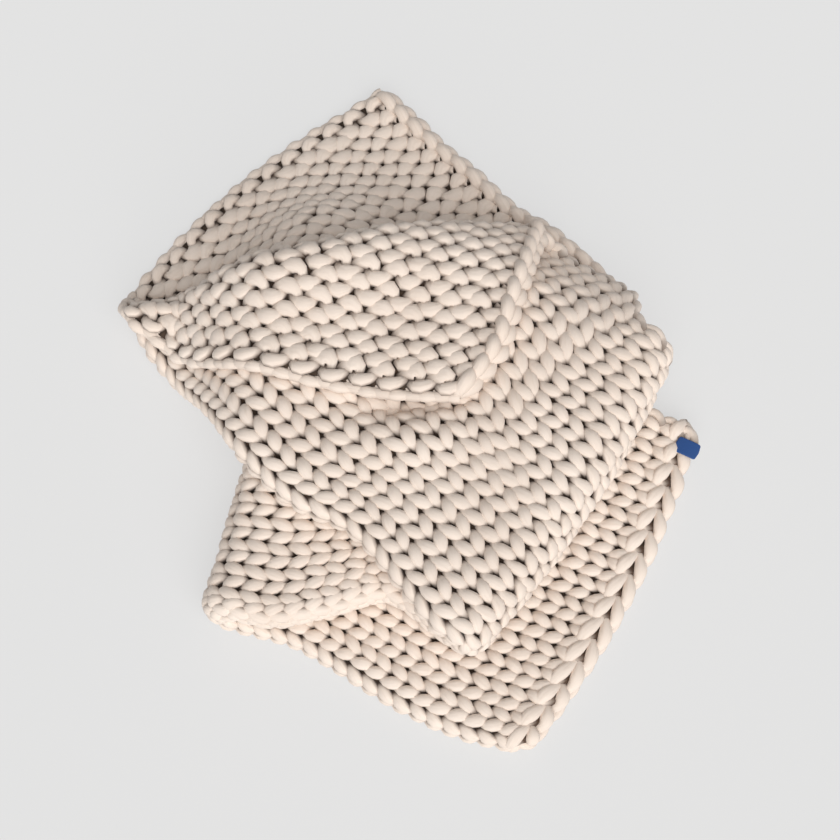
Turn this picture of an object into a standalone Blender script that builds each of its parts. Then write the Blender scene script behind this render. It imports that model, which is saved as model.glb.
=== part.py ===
"""Chunky hand-knitted weighted blanket, folded and laid in a loose pile.

The blanket is one thick knitted cloth.  It is folded in half along its length,
so that it becomes a double band with a round spine on one side and two open
side edges on the other.  The band is then laid in three panels, top, middle
and bottom, which turn under at an oblique fold at each end.  The corner of the
upper half at the starting edge is turned back over the pile.

The cloth is one closed solid that follows this shape.  All lengths are metres,
+Z is up, and the pile rests on Z = 0 with its origin under the middle of it.
"""

from math import pi
from typing import NamedTuple

import bpy
import numpy as np

# ---------------------------------------------------------------- dimensions
CLOTH_THICKNESS = 0.018       # the solid cloth
BEND_SHARE = 0.42             # of a bend's radius that half the thickness may take
LAYER_PITCH = 0.026           # height that one layer takes in the pile
CLIMB = 0.16                  # run over which the cloth climbs onto the pile
SIDE_CURL = 0.013             # how much the lower half's side edge curls up
SIDE_CURL_START = 0.84        # of the way from the spine to that edge
FREE_EDGE = 0.026             # it does so where the upper half ends further off than this
TURN_RADIUS = LAYER_PITCH     # of the double band, where a panel turns under
TURN_STEPS = 5                # sections that round each turn
WRAP_RADIUS = LAYER_PITCH / 2  # of the single cloth, round the spine

CREST_START = (-0.404, 0.118)  # turned-back corner: its fold, at the spine
CREST_END = (0.150, 0.207)     # and at the side edge of the upper half
CREST_BOW = -0.010             # sideways bow of the fold at its middle
CREST_RADIUS_END = 0.020
CREST_RADIUS_MIDDLE = 0.022
CREST_SETTLE = 0.10            # run in which the corner sinks onto the pile

LABEL_WIDTH = 0.032
LABEL_DEPTH = 0.020
LABEL_THICKNESS = 0.0016
LABEL_HEADING = -27.0          # degrees, the way its free end points
LABEL_CENTRE = (0.358, -0.059)
CLEARANCE = 0.0003             # between the label and the cloth

SPINE_CELLS = 6                # mesh cells round the spine
HALF_CELLS = 17                # mesh cells across each half of the cloth
FINE_STEPS = 700               # steps along the band when it is worked out
FINE_CELLS = 40                # cells across each half when it is worked out


class Section(NamedTuple):
    """One cross section of the double band, seen from above."""

    level: float       # 2 top panel, 1 middle panel, 0 bottom panel
    spine: tuple       # x, y of the folded side
    under: tuple       # x, y of the lower half's side edge
    upper: tuple       # x, y of the upper half's side edge
    under_bow: float   # bow of the section, towards the starting edge
    upper_bow: float


SECTIONS = (
    Section(2, (-0.402, 0.183), (-0.042, 0.521), (-0.010, 0.459), 0.032, 0.036),
    Section(2, (-0.370, 0.118), (0.028, 0.448), (0.058, 0.418), 0.012, 0.020),
    Section(2, (-0.321, 0.053), (0.090, 0.390), (0.106, 0.352), 0.000, 0.006),
    Section(2, (-0.266, -0.011), (0.146, 0.332), (0.148, 0.294), 0.000, 0.000),
    Section(2, (-0.214, -0.090), (0.202, 0.290), (0.188, 0.240), 0.000, 0.000),
    Section(2, (-0.148, -0.151), (0.250, 0.246), (0.227, 0.205), 0.000, 0.000),
    Section(2, (-0.072, -0.190), (0.283, 0.202), (0.269, 0.170), 0.000, 0.000),
    Section(2, (-0.012, -0.258), (0.299, 0.150), (0.299, 0.134), -0.005, -0.005),
    Section(2, (0.040, -0.318), (0.301, 0.083), (0.301, 0.083), -0.018, -0.018),
    Section(1, (0.044, -0.312), (0.294, 0.075), (0.294, 0.075), -0.018, -0.018),
    Section(1, (-0.030, -0.258), (0.192, 0.092), (0.192, 0.092), 0.000, 0.000),
    Section(1, (-0.115, -0.276), (0.076, 0.124), (0.076, 0.124), 0.000, 0.000),
    Section(1, (-0.190, -0.288), (-0.044, 0.150), (-0.044, 0.150), 0.000, 0.000),
    Section(1, (-0.228, -0.280), (-0.124, 0.155), (-0.124, 0.155), -0.004, -0.004),
    Section(0, (-0.232, -0.282), (-0.124, 0.147), (-0.124, 0.147), 0.004, 0.004),
    Section(0, (-0.150, -0.306), (0.008, 0.108), (0.008, 0.108), 0.000, 0.000),
    Section(0, (-0.080, -0.348), (0.106, 0.076), (0.106, 0.076), 0.000, 0.000),
    Section(0, (-0.012, -0.390), (0.206, 0.042), (0.206, 0.042), 0.000, 0.000),
    Section(0, (0.072, -0.426), (0.306, 0.010), (0.306, 0.010), -0.010, -0.010),
    Section(0, (0.150, -0.441), (0.376, -0.030), (0.376, -0.030), -0.024, -0.024),
)
LEVEL, SPINE, UNDER, UPPER, UNDER_BOW, UPPER_BOW = 0, 1, 3, 5, 7, 8

# plan outlines of the two lower panels, on which the cloth above them climbs
MIDDLE_OUTLINE = ((-0.252, -0.285), (0.062, -0.330), (0.324, 0.080), (0.076, 0.138),
                  (-0.060, 0.166), (-0.154, 0.174))
BOTTOM_OUTLINE = ((-0.252, -0.285), (0.148, -0.448), (0.378, -0.022), (0.306, 0.020),
                  (0.104, 0.090), (-0.060, 0.142), (-0.154, 0.168))

# mesh rows along each panel and turn
TOP_ROWS_FINE = 19             # in the stretch that the turned-back corner takes
TOP_FINE_SHARE = 0.48          # of the top panel's length
TOP_ROWS_COARSE = 9
TURN_ROWS = 8
MIDDLE_ROWS = 9
BOTTOM_ROWS = 11


def clear_scene():
    """Remove every object of the open file."""
    for item in list(bpy.data.objects):
        bpy.data.objects.remove(item)


def unit(vectors):
    """Return the vectors at unit length."""
    return vectors / np.linalg.norm(vectors, axis=-1, keepdims=True)


def ease(share):
    """Return a soft step from 0 to 1 as the share goes from 0 to 1."""
    share = np.clip(share, 0.0, 1.0)
    return share * share * (3.0 - 2.0 * share)


def flat_row(section):
    """Return a section as one row of numbers."""
    return np.array((section.level, *section.spine, *section.under,
                     *section.upper, section.under_bow, section.upper_bow))


def turn_rows(before, last, first):
    """Return the rows that round a turn between two panels' end sections."""
    across = unit(last[UNDER:UNDER + 2] - last[SPINE:SPINE + 2])
    outward = np.array((across[1], -across[0]))
    travel = last[SPINE:UPPER + 2] - before[SPINE:UPPER + 2]
    if outward @ travel.reshape(3, 2).sum(axis=0) < 0:
        outward = -outward
    rows = []
    for step in range(1, TURN_STEPS + 1):
        share = step / (TURN_STEPS + 1)
        row = last * (1 - share) + first * share
        sink = (1 - np.cos(pi * share)) / 2
        row[LEVEL] = last[LEVEL] + (first[LEVEL] - last[LEVEL]) * sink
        for column in (SPINE, UNDER, UPPER):
            row[column:column + 2] += outward * TURN_RADIUS * np.sin(pi * share)
        rows.append(row)
    return rows


def band_rows():
    """Return all section rows with the turns put in, and where each run ends."""
    rows, ends = [], []
    for index, section in enumerate(SECTIONS):
        rows.append(flat_row(section))
        if index + 1 < len(SECTIONS) and SECTIONS[index + 1].level != section.level:
            ends.append(len(rows) - 1)
            rows += turn_rows(flat_row(SECTIONS[index - 1]), rows[-1],
                              flat_row(SECTIONS[index + 1]))
            ends.append(len(rows))
    ends.append(len(rows) - 1)
    return np.array(rows), ends


def run_lengths(rows):
    """Return the distance travelled at each row, at the band's middle."""
    side = (rows[:, UNDER:UNDER + 2] + rows[:, UPPER:UPPER + 2]) / 2
    middle = np.column_stack((rows[:, LEVEL] * 2 * LAYER_PITCH,
                              (rows[:, SPINE:SPINE + 2] + side) / 2))
    steps = np.linalg.norm(np.diff(middle, axis=0), axis=1)
    return np.concatenate(((0.0,), np.cumsum(steps)))


def smooth_rows(rows, knots, places):
    """Return the rows at other places, on a smooth curve through them all."""
    slopes = np.gradient(rows, knots, axis=0)
    index = np.clip(np.searchsorted(knots, places, side="right") - 1, 0, len(knots) - 2)
    span = (knots[index + 1] - knots[index])[:, None]
    s = (places - knots[index])[:, None] / span
    return ((2 * s**3 - 3 * s**2 + 1) * rows[index]
            + (s**3 - 2 * s**2 + s) * span * slopes[index]
            + (3 * s**2 - 2 * s**3) * rows[index + 1]
            + (s**3 - s**2) * span * slopes[index + 1])


def distance_outside(outline, x, y):
    """Return the distance of points from a convex outline, 0 inside it."""
    inside = np.ones(np.shape(x), bool)
    nearest = np.full(np.shape(x), np.inf)
    for (ax, ay), (bx, by) in zip(outline, outline[1:] + outline[:1]):
        ex, ey = bx - ax, by - ay
        share = np.clip(((x - ax) * ex + (y - ay) * ey) / (ex * ex + ey * ey), 0, 1)
        nearest = np.minimum(nearest, np.hypot(x - ax - share * ex, y - ay - share * ey))
        inside &= ex * (y - ay) - ey * (x - ax) >= 0
    return np.where(inside, 0.0, nearest)


def band_height(level, x, y):
    """Return the height of the band's middle, one panel's step under each level."""
    over_bottom = ease(1 - distance_outside(BOTTOM_OUTLINE, x, y) / CLIMB)
    over_middle = ease(1 - distance_outside(MIDDLE_OUTLINE, x, y) / CLIMB)
    steps = over_bottom * np.clip(level, 0, 1) + over_middle * np.clip(level - 1, 0, 1)
    return CLOTH_THICKNESS / 2 + LAYER_PITCH * (0.5 + 2 * steps)


def half_sheet(rows, side):
    """Return one half of the cloth on the fine grid.

    The half is given by its side of the band, -1 for the lower and +1 for the
    upper half.  The result is the band's own middle, its normals and the
    cloth's middle surface, each as [step along, step across] points.
    """
    column, bow_column = (UNDER, UNDER_BOW) if side < 0 else (UPPER, UPPER_BOW)
    spine, edge = rows[:, SPINE:SPINE + 2], rows[:, column:column + 2]
    across = np.linspace(0, 1, FINE_CELLS + 1)
    plan = spine[:, None] * (1 - across)[None, :, None] + edge[:, None] * across[None, :, None]
    heading = unit(edge - spine)
    back = np.column_stack((-heading[:, 1], heading[:, 0]))
    bow = rows[:, bow_column, None] * 4 * across * (1 - across)
    plan = plan + back[:, None] * bow[..., None]
    level = np.repeat(rows[:, LEVEL, None], len(across), axis=1)
    height = band_height(level, plan[..., 0], plan[..., 1])
    if side < 0:
        apart = np.linalg.norm(rows[:, UNDER:UNDER + 2] - rows[:, UPPER:UPPER + 2], axis=1)
        free = np.clip(level - 1, 0, 1) * ease(apart / FREE_EDGE - 1)[:, None]
        height = height + SIDE_CURL * free * ease((across - SIDE_CURL_START)
                                                  / (1 - SIDE_CURL_START))
    band = np.concatenate((plan, height[..., None]), axis=-1)
    for _ in range(3):
        band[1:-1] = (band[:-2] + 2 * band[1:-1] + band[2:]) / 4
    normal = unit(np.cross(np.gradient(band, axis=1), np.gradient(band, axis=0)))
    normal = normal * np.sign(normal[0, FINE_CELLS // 2, 2])
    return band, normal, band + side * WRAP_RADIUS * normal


def upward_normal(x, y, reach=0.004):
    """Return the normals of the top panel's own middle at plan points."""
    slope_x = (band_height(2, x + reach, y) - band_height(2, x - reach, y)) / (2 * reach)
    slope_y = (band_height(2, x, y + reach) - band_height(2, x, y - reach)) / (2 * reach)
    return unit(np.stack((-slope_x, -slope_y, np.ones_like(slope_x)), axis=-1))


def turn_corner_back(points):
    """Roll the part of the upper half beyond the crest back over the pile."""
    start = np.array(CREST_START)
    length = np.linalg.norm(np.array(CREST_END) - start)
    along = (np.array(CREST_END) - start) / length
    beyond = np.array((-along[1], along[0]))
    offset = points[..., :2] - start
    run = offset @ along
    share = np.clip(run / length, 0, 1)
    bow = CREST_BOW * 4 * share * (1 - share)
    past = offset @ beyond - bow
    radius = CREST_RADIUS_END + (CREST_RADIUS_MIDDLE - CREST_RADIUS_END) * np.sin(pi * share)
    angle = np.clip(past / radius, 0, pi)
    lying = np.clip(past - pi * radius, 0, None)
    reach = radius * np.sin(angle) - lying + bow
    sunk = 2 * radius - (2 * radius - LAYER_PITCH) * ease(lying / CREST_SETTLE)
    rise = np.where(lying > 0, sunk, radius * (1 - np.cos(angle)))
    plan = start + run[..., None] * along + reach[..., None] * beyond
    x, y = plan[..., 0], plan[..., 1]
    base = np.stack((x, y, band_height(2, x, y)), axis=-1)
    rolled = base + upward_normal(x, y) * (WRAP_RADIUS + rise)[..., None]
    return np.where((past > 0)[..., None], rolled, points)


def row_places(ends, knots):
    """Return where the mesh rows lie along the band, closer where it bends."""
    fine_end = knots[ends[0]] * TOP_FINE_SHARE
    marks = (0.0, fine_end, *(knots[end] for end in ends))
    counts = (TOP_ROWS_FINE, TOP_ROWS_COARSE, TURN_ROWS, MIDDLE_ROWS, TURN_ROWS, BOTTOM_ROWS)
    parts = [np.linspace(a, b, count, endpoint=False)
             for a, b, count in zip(marks, marks[1:], counts)]
    return np.concatenate((*parts, (marks[-1],)))


def take(grid, places):
    """Return rows of a fine grid at fractional row places."""
    index = np.clip(places.astype(int), 0, len(grid) - 2)
    share = (places - index).reshape(-1, *(1,) * (grid.ndim - 1))
    return grid[index] * (1 - share) + grid[index + 1] * share


def cloth_middle():
    """Return the cloth's middle surface as [row along, column across] points."""
    rows, ends = band_rows()
    knots = run_lengths(rows)
    fine = smooth_rows(rows, knots, np.linspace(0, knots[-1], FINE_STEPS))
    under_band, under_normal, under = half_sheet(fine, -1)
    upper_band, upper_normal, upper = half_sheet(fine, +1)
    spine = (under_band[:, 0] + upper_band[:, 0]) / 2
    normal = unit(under_normal[:, 0] + upper_normal[:, 0])
    inward = unit(np.gradient(under_band, axis=1)[:, 0] + np.gradient(upper_band, axis=1)[:, 0])
    angles = np.linspace(-pi / 2, pi / 2, SPINE_CELLS + 1)[1:-1]
    wrap = np.stack([spine + WRAP_RADIUS * (np.sin(a) * normal - np.cos(a) * inward)
                     for a in angles], axis=1)
    columns = np.linspace(0, FINE_CELLS, HALF_CELLS + 1)
    under = take(under.swapaxes(0, 1), columns[::-1]).swapaxes(0, 1)
    upper = take(upper.swapaxes(0, 1), columns).swapaxes(0, 1)
    surface = np.concatenate((under, wrap, upper), axis=1)
    share = np.concatenate((np.zeros(HALF_CELLS + 1), (angles + pi / 2) / pi,
                            np.ones(HALF_CELLS + 1)))
    in_top_panel = fine[:, LEVEL] > 1.999
    share = (ease(share)[None, :] * in_top_panel[:, None])[..., None]
    surface = surface * (1 - share) + turn_corner_back(surface) * share
    normals = unit(np.cross(np.gradient(surface, axis=1), np.gradient(surface, axis=0)))
    if normals[-1, -1, 2] < 0:
        normals = -normals
    places = row_places(ends, knots) / knots[-1] * (FINE_STEPS - 1)
    return take(surface, places), unit(take(normals, places))


def sheet_faces(rows, columns):
    """Return the faces of a closed thick sheet from its two grids of points."""
    faces = []
    back = rows * columns

    def corner(row, column):
        return row * columns + column

    for row in range(rows - 1):
        for column in range(columns - 1):
            a, b = corner(row, column), corner(row, column + 1)
            c, d = corner(row + 1, column + 1), corner(row + 1, column)
            faces.append((a, b, c, d))
            faces.append((back + d, back + c, back + b, back + a))
    rim = [corner(0, column) for column in range(columns)]
    rim += [corner(row, columns - 1) for row in range(1, rows)]
    rim += [corner(rows - 1, column) for column in range(columns - 2, -1, -1)]
    rim += [corner(row, 0) for row in range(rows - 2, 0, -1)]
    for first, second in zip(rim, rim[1:] + rim[:1]):
        faces.append((second, first, back + first, back + second))
    return faces


def mesh_object(name, vertices, faces, material):
    """Return a new object with one closed mesh whose faces point outwards."""
    mesh = bpy.data.meshes.new(name)
    mesh.from_pydata([tuple(map(float, v)) for v in vertices], [], faces)
    mesh.update()
    mesh.materials.append(material)
    item = bpy.data.objects.new(name, mesh)
    bpy.context.collection.objects.link(item)
    return item


def principled(name, colour, roughness):
    """Return a plain material of one colour."""
    material = bpy.data.materials.new(name)
    material.use_nodes = True
    shader = material.node_tree.nodes["Principled BSDF"]
    shader.inputs["Base Color"].default_value = (*colour, 1.0)
    shader.inputs["Roughness"].default_value = roughness
    shader.inputs["Metallic"].default_value = 0.0
    return material


def half_thickness(middle, normals):
    """Return half the cloth's thickness at each point, less where it bends hard."""
    half = np.full(middle.shape[:2], CLOTH_THICKNESS / 2)
    for axis in (0, 1):
        turn = np.linalg.norm(np.gradient(normals, axis=axis), axis=-1)
        step = np.linalg.norm(np.gradient(middle, axis=axis), axis=-1)
        half = np.minimum(half, BEND_SHARE * step / np.maximum(turn, 1e-6))
    for _ in range(2):
        half[1:-1] = np.minimum(half[1:-1], (half[:-2] + half[2:]) / 2)
    return half[..., None]


def build_blanket():
    """Return the thick cloth's vertices and faces."""
    middle, normals = cloth_middle()
    rows, columns = middle.shape[:2]
    half = normals * half_thickness(middle, normals)
    vertices = np.concatenate(((middle + half).reshape(-1, 3), (middle - half).reshape(-1, 3)))
    return vertices, sheet_faces(rows, columns)


def build_label(top):
    """Return the sewn label's vertices and faces, just above a height."""
    turn = np.radians(LABEL_HEADING)
    ahead = np.array((np.cos(turn), np.sin(turn)))
    aside = np.array((-ahead[1], ahead[0]))
    cells = 4
    vertices = []
    for height in (0.0, LABEL_THICKNESS):
        for step in range(cells + 1):
            for side in (-0.5, 0.5):
                reach = (step / cells - 0.5) * LABEL_WIDTH
                plan = np.array(LABEL_CENTRE) + ahead * reach + aside * side * LABEL_DEPTH
                vertices.append((*plan, top + CLEARANCE + height))
    return np.array(vertices), sheet_faces(cells + 1, 2)


def face_outwards(vertices, faces):
    """Return the faces, turned over if they enclose a negative volume."""
    volume = 0.0
    for face in faces:
        points = vertices[list(face)]
        for second, third in zip(points[1:], points[2:]):
            volume += np.dot(points[0], np.cross(second, third))
    return faces if volume > 0 else [face[::-1] for face in faces]


def main():
    """Build the folded blanket and its label, centred over the origin."""
    clear_scene()
    yarn = principled("cotton_yarn", (0.76, 0.66, 0.57), 0.9)
    ribbon = principled("woven_label", (0.01, 0.09, 0.34), 0.7)
    cloth, cloth_faces = build_blanket()
    label, label_faces = build_label(LAYER_PITCH + CLOTH_THICKNESS)
    both = np.concatenate((cloth, label))
    centre = (both.min(axis=0) + both.max(axis=0)) / 2
    centre[2] = both[:, 2].min()
    mesh_object("blanket", cloth - centre, face_outwards(cloth, cloth_faces), yarn)
    mesh_object("sewn_label", label - centre, face_outwards(label, label_faces), ribbon)


main()
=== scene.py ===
"""Looks of the folded chunky-knit weighted blanket.

The blanket is knitted in stocking stitch from one thick soft yarn. It is folded
in half along its length and laid in three panels, with one corner of the upper
half turned back. Every stitch is a length of real yarn: the courses run across
the cloth in loops, and chains of links close its four edges. Lengths are metres.
"""

from __future__ import annotations

import logging
from dataclasses import dataclass, field
from enum import Enum
from math import cos, pi, radians, sin
from typing import NamedTuple, Sequence

import bpy
import numpy as np
from bpy.types import Material, Node, NodeSocket, Object
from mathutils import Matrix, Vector


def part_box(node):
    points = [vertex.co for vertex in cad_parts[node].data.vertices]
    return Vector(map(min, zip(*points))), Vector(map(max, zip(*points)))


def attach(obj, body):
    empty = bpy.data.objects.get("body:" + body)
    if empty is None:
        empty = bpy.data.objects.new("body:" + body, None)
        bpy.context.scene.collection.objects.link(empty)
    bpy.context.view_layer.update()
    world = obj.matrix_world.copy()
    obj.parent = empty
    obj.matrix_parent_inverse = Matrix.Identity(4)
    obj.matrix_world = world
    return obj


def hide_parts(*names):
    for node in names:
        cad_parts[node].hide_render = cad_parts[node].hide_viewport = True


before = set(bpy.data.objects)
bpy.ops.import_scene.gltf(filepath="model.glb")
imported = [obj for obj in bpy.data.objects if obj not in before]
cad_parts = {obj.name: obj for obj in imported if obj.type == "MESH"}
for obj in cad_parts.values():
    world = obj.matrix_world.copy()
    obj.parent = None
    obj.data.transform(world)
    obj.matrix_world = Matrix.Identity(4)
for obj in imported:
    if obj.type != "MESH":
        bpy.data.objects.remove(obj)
BODY = "root"
Array = np.ndarray
Point = tuple[float, float]
Colour = tuple[float, float, float]
log = logging.getLogger("blanket")


# ------------------------------------------------------------------ small maths
def unit(vectors: Array) -> Array:
    """Return the vectors at unit length."""
    return vectors / np.maximum(np.linalg.norm(vectors, axis=-1, keepdims=True), 1e-12)


def ease(share: Array) -> Array:
    """Return a soft step from 0 to 1 as the share goes from 0 to 1."""
    share = np.clip(share, 0.0, 1.0)
    return share * share * (3.0 - 2.0 * share)


def travelled(steps: Array) -> Array:
    """Return the way travelled up to each point, from the steps between them."""
    return np.concatenate(((0.0,), np.cumsum(steps)))


def distance_outside(outline: Sequence[Point], plan: Array) -> Array:
    """Measure how far points lie outside a convex outline.

    Args:
        outline: corners of the outline, counter-clockwise.
        plan: the points, seen from above.

    Returns:
        The distance of each point, 0 inside the outline.
    """
    inside = np.ones(plan.shape[:-1], bool)
    nearest = np.full(plan.shape[:-1], np.inf)
    for start, end in zip(outline, (*outline[1:], outline[0])):
        side, offset = np.subtract(end, start), plan - start
        share = np.clip(offset @ side / (side @ side), 0, 1)
        nearest = np.minimum(nearest, np.linalg.norm(offset - share[..., None] * side, axis=-1))
        inside &= side[0] * offset[..., 1] - side[1] * offset[..., 0] >= 0
    return np.where(inside, 0.0, nearest)


def take(grid: Array, places: Array) -> Array:
    """Read rows of a grid between its own rows.

    Args:
        grid: the grid, row by row.
        places: fractional row numbers.

    Returns:
        One row for each place.
    """
    index = np.clip(places.astype(int), 0, len(grid) - 2)
    share = (places - index).reshape(-1, *(1,) * (grid.ndim - 1))
    return grid[index] * (1 - share) + grid[index + 1] * share


# ------------------------------------------------------------------- the folds
class Face(Enum):
    """The two faces of the knitting."""

    KNIT = 1
    PURL = -1


class Edge(Enum):
    """The four edges of the cloth."""

    STARTING = "starting_edge"
    CAST_OFF = "cast_off_edge"
    LOWER_SIDE = "lower_side_edge"
    UPPER_SIDE = "upper_side_edge"


class Section(NamedTuple):
    """One cross section of the double band, seen from above."""

    level: float                     # 2 for the top panel and 0 for the bottom one
    spine: Point
    under: Point                     # where the lower half ends
    upper: Point                     # where the upper half ends
    under_bow: float
    upper_bow: float


def flush(level: float, spine: Point, edge: Point, bow: float = 0.0) -> Section:
    """Return a section where the two halves end together."""
    return Section(level, spine, edge, edge, bow, bow)


SECTIONS = (
    Section(2, (-0.402, 0.183), (-0.042, 0.521), (-0.010, 0.459), 0.032, 0.036),
    Section(2, (-0.370, 0.118), (0.028, 0.448), (0.058, 0.418), 0.012, 0.020),
    Section(2, (-0.321, 0.053), (0.090, 0.390), (0.106, 0.352), 0.000, 0.006),
    Section(2, (-0.266, -0.011), (0.146, 0.332), (0.148, 0.294), 0.000, 0.000),
    Section(2, (-0.214, -0.090), (0.202, 0.290), (0.188, 0.240), 0.000, 0.000),
    Section(2, (-0.148, -0.151), (0.250, 0.246), (0.227, 0.205), 0.000, 0.000),
    Section(2, (-0.072, -0.190), (0.283, 0.202), (0.269, 0.170), 0.000, 0.000),
    Section(2, (-0.012, -0.258), (0.299, 0.150), (0.299, 0.134), -0.005, -0.005),
    flush(2, (0.040, -0.318), (0.301, 0.083), -0.018),
    flush(1, (0.044, -0.312), (0.294, 0.075), -0.018),
    flush(1, (-0.030, -0.258), (0.192, 0.092)),
    flush(1, (-0.115, -0.276), (0.076, 0.124)),
    flush(1, (-0.190, -0.288), (-0.044, 0.150)),
    flush(1, (-0.228, -0.280), (-0.124, 0.155), -0.004),
    flush(0, (-0.232, -0.282), (-0.124, 0.147), 0.004),
    flush(0, (-0.150, -0.306), (0.008, 0.108)),
    flush(0, (-0.080, -0.348), (0.106, 0.076)),
    flush(0, (-0.012, -0.390), (0.206, 0.042)),
    flush(0, (0.072, -0.426), (0.306, 0.010), -0.010),
    flush(0, (0.150, -0.441), (0.376, -0.030), -0.024),
)
# Where each value stands in a section that is written out as one row of numbers.
LEVEL, UNDER_BOW, UPPER_BOW = 0, 7, 8
SPINE, UNDER, UPPER, ALL_POINTS = slice(1, 3), slice(3, 5), slice(5, 7), slice(1, 7)

# What the middle and the bottom panel cover, counter-clockwise.
MIDDLE_OUTLINE = ((-0.252, -0.285), (0.062, -0.330), (0.324, 0.080), (0.076, 0.138),
                  (-0.060, 0.166), (-0.154, 0.174))
BOTTOM_OUTLINE = ((-0.252, -0.285), (0.148, -0.448), (0.378, -0.022), (0.306, 0.020),
                  (0.104, 0.090), (-0.060, 0.142), (-0.154, 0.168))


class Swell(NamedTuple):
    """A soft rise or hollow of the top panel, long one way."""

    side: int                        # -1 for the lower half and +1 for the upper one
    middle: Point
    half_length: float
    half_width: float
    heading: float                   # degrees
    height: float                    # below 0 for a hollow


SWELLS = (
    Swell(+1, (-0.008, -0.086), 0.090, 0.030, 4.0, 0.010),
    Swell(+1, (-0.020, -0.042), 0.056, 0.022, 4.0, -0.022),
    Swell(-1, (-0.130, 0.290), 0.100, 0.055, 8.0, 0.042),
)


@dataclass
class FoldedCloth:
    """The middle surface of the folded cloth, found by stitch across and row along.

    Stitch 0 is at the side edge of the lower half and stitch 30 at that of the upper
    half; row 0 is at the starting edge and row 62 at the cast-off edge.
    """

    shift: Vector
    stitches: int = 30
    rows: int = 62
    width: float = 1.02
    length: float = 1.83
    end_inset: float = 0.002         # from the cloth's ends to row 0 and the last row
    layer_pitch: float = 0.026       # from the middle of one layer to that of the next
    rest_height: float = 0.009       # of the lowest layer's middle
    climb: float = 0.16              # way over which a panel climbs onto the ones below
    side_curl: float = 0.013         # how much the lower half's side edge curls up
    curl_start: float = 0.84         # of the way from the spine to that edge
    free_edge: float = 0.026         # it does so where the upper half ends further off
    evenness: tuple[float, float] = (0.5, 0.9)   # of the stitches, in each half
    turn_steps: int = 5
    crest_start: Point = (-0.404, 0.118)         # the fold of the corner that is rolled back
    crest_end: Point = (0.150, 0.207)
    crest_bow: float = -0.010
    crest_radius_end: float = 0.020
    crest_radius_middle: float = 0.022
    crest_settle: float = 0.10       # way over which the rolled corner comes down to lie flat
    row_pitch: tuple[float, float, float] = (0.0253, 0.0275, 0.0290)   # bottom to top panel
    fine_rows: int = 700
    half_cells: int = 40
    wrap_cells: int = 12
    smoothing: int = 3               # how many times the band is smoothed along
    top_level: float = 1.999         # from here up a section is of the top panel
    plumpness: tuple[float, float] = (0.85, 1.35)   # limits to how the stitches' area varies
    points: Array = field(init=False, repr=False)
    normals: Array = field(init=False, repr=False)
    columns: Array = field(init=False, repr=False)

    @property
    def wrap_radius(self) -> float:
        """Return the radius of the single cloth round the spine."""
        return self.layer_pitch / 2

    def section_rows(self) -> Array:
        """List the sections as rows of numbers, with the turns put in.

        Returns:
            One row for each section along the band.
        """
        flat = [np.array((s.level, *s.spine, *s.under, *s.upper, s.under_bow, s.upper_bow))
                for s in SECTIONS]
        rows: list[Array] = []
        for index, row in enumerate(flat):
            rows.append(row)
            if index + 1 < len(flat) and flat[index + 1][LEVEL] != row[LEVEL]:
                rows += self.turn_rows(flat[index - 1], row, flat[index + 1])
        return np.array(rows)

    def turn_rows(self, before: Array, last: Array, first: Array) -> list[Array]:
        """Make the rows that round a turn between two panels.

        Args:
            before: the section before the last one of the upper panel.
            last: the last section of the upper panel.
            first: the first section of the lower panel.

        Returns:
            The rows of the turn, without its two ends.
        """
        across = unit(last[UNDER] - last[SPINE])
        outward = np.array((across[1], -across[0]))
        travel = (last - before)[ALL_POINTS].reshape(3, 2).sum(axis=0)
        outward = outward if outward @ travel > 0 else -outward
        rows = []
        for step in range(1, self.turn_steps + 1):
            share = step / (self.turn_steps + 1)
            row = last * (1 - share) + first * share
            row[LEVEL] = last[LEVEL] + (first[LEVEL] - last[LEVEL]) * (1 - cos(pi * share)) / 2
            row[ALL_POINTS] += np.tile(outward * self.layer_pitch * sin(pi * share), 3)
            rows.append(row)
        return rows

    def fine_sections(self) -> Array:
        """Lay a smooth curve through all sections.

        Returns:
            The sections at even steps along the band.
        """
        rows = self.section_rows()
        side = (rows[:, UNDER] + rows[:, UPPER]) / 2
        middle = np.column_stack((rows[:, LEVEL] * 2 * self.layer_pitch,
                                  (rows[:, SPINE] + side) / 2))
        knots = travelled(np.linalg.norm(np.diff(middle, axis=0), axis=1))
        places = np.linspace(0, knots[-1], self.fine_rows)
        slopes = np.gradient(rows, knots, axis=0)
        index = np.clip(np.searchsorted(knots, places, side="right") - 1, 0, len(knots) - 2)
        span = (knots[index + 1] - knots[index])[:, None]
        s = (places - knots[index])[:, None] / span
        return ((2 * s**3 - 3 * s**2 + 1) * rows[index]
                + (s**3 - 2 * s**2 + s) * span * slopes[index]
                + (3 * s**2 - 2 * s**3) * rows[index + 1]
                + (s**3 - s**2) * span * slopes[index + 1])

    def band_height(self, level: Array, plan: Array) -> Array:
        """Find how high the middle of the double band lies.

        Args:
            level: the panel, 2 for the top one and 0 for the bottom one.
            plan: points, seen from above.

        Returns:
            The height of the band's middle at each point.
        """
        over_bottom = ease(1 - distance_outside(BOTTOM_OUTLINE, plan) / self.climb)
        over_middle = ease(1 - distance_outside(MIDDLE_OUTLINE, plan) / self.climb)
        steps = over_bottom * np.clip(level, 0, 1) + over_middle * np.clip(level - 1, 0, 1)
        return self.rest_height + self.layer_pitch * (0.5 + 2 * steps)

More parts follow.
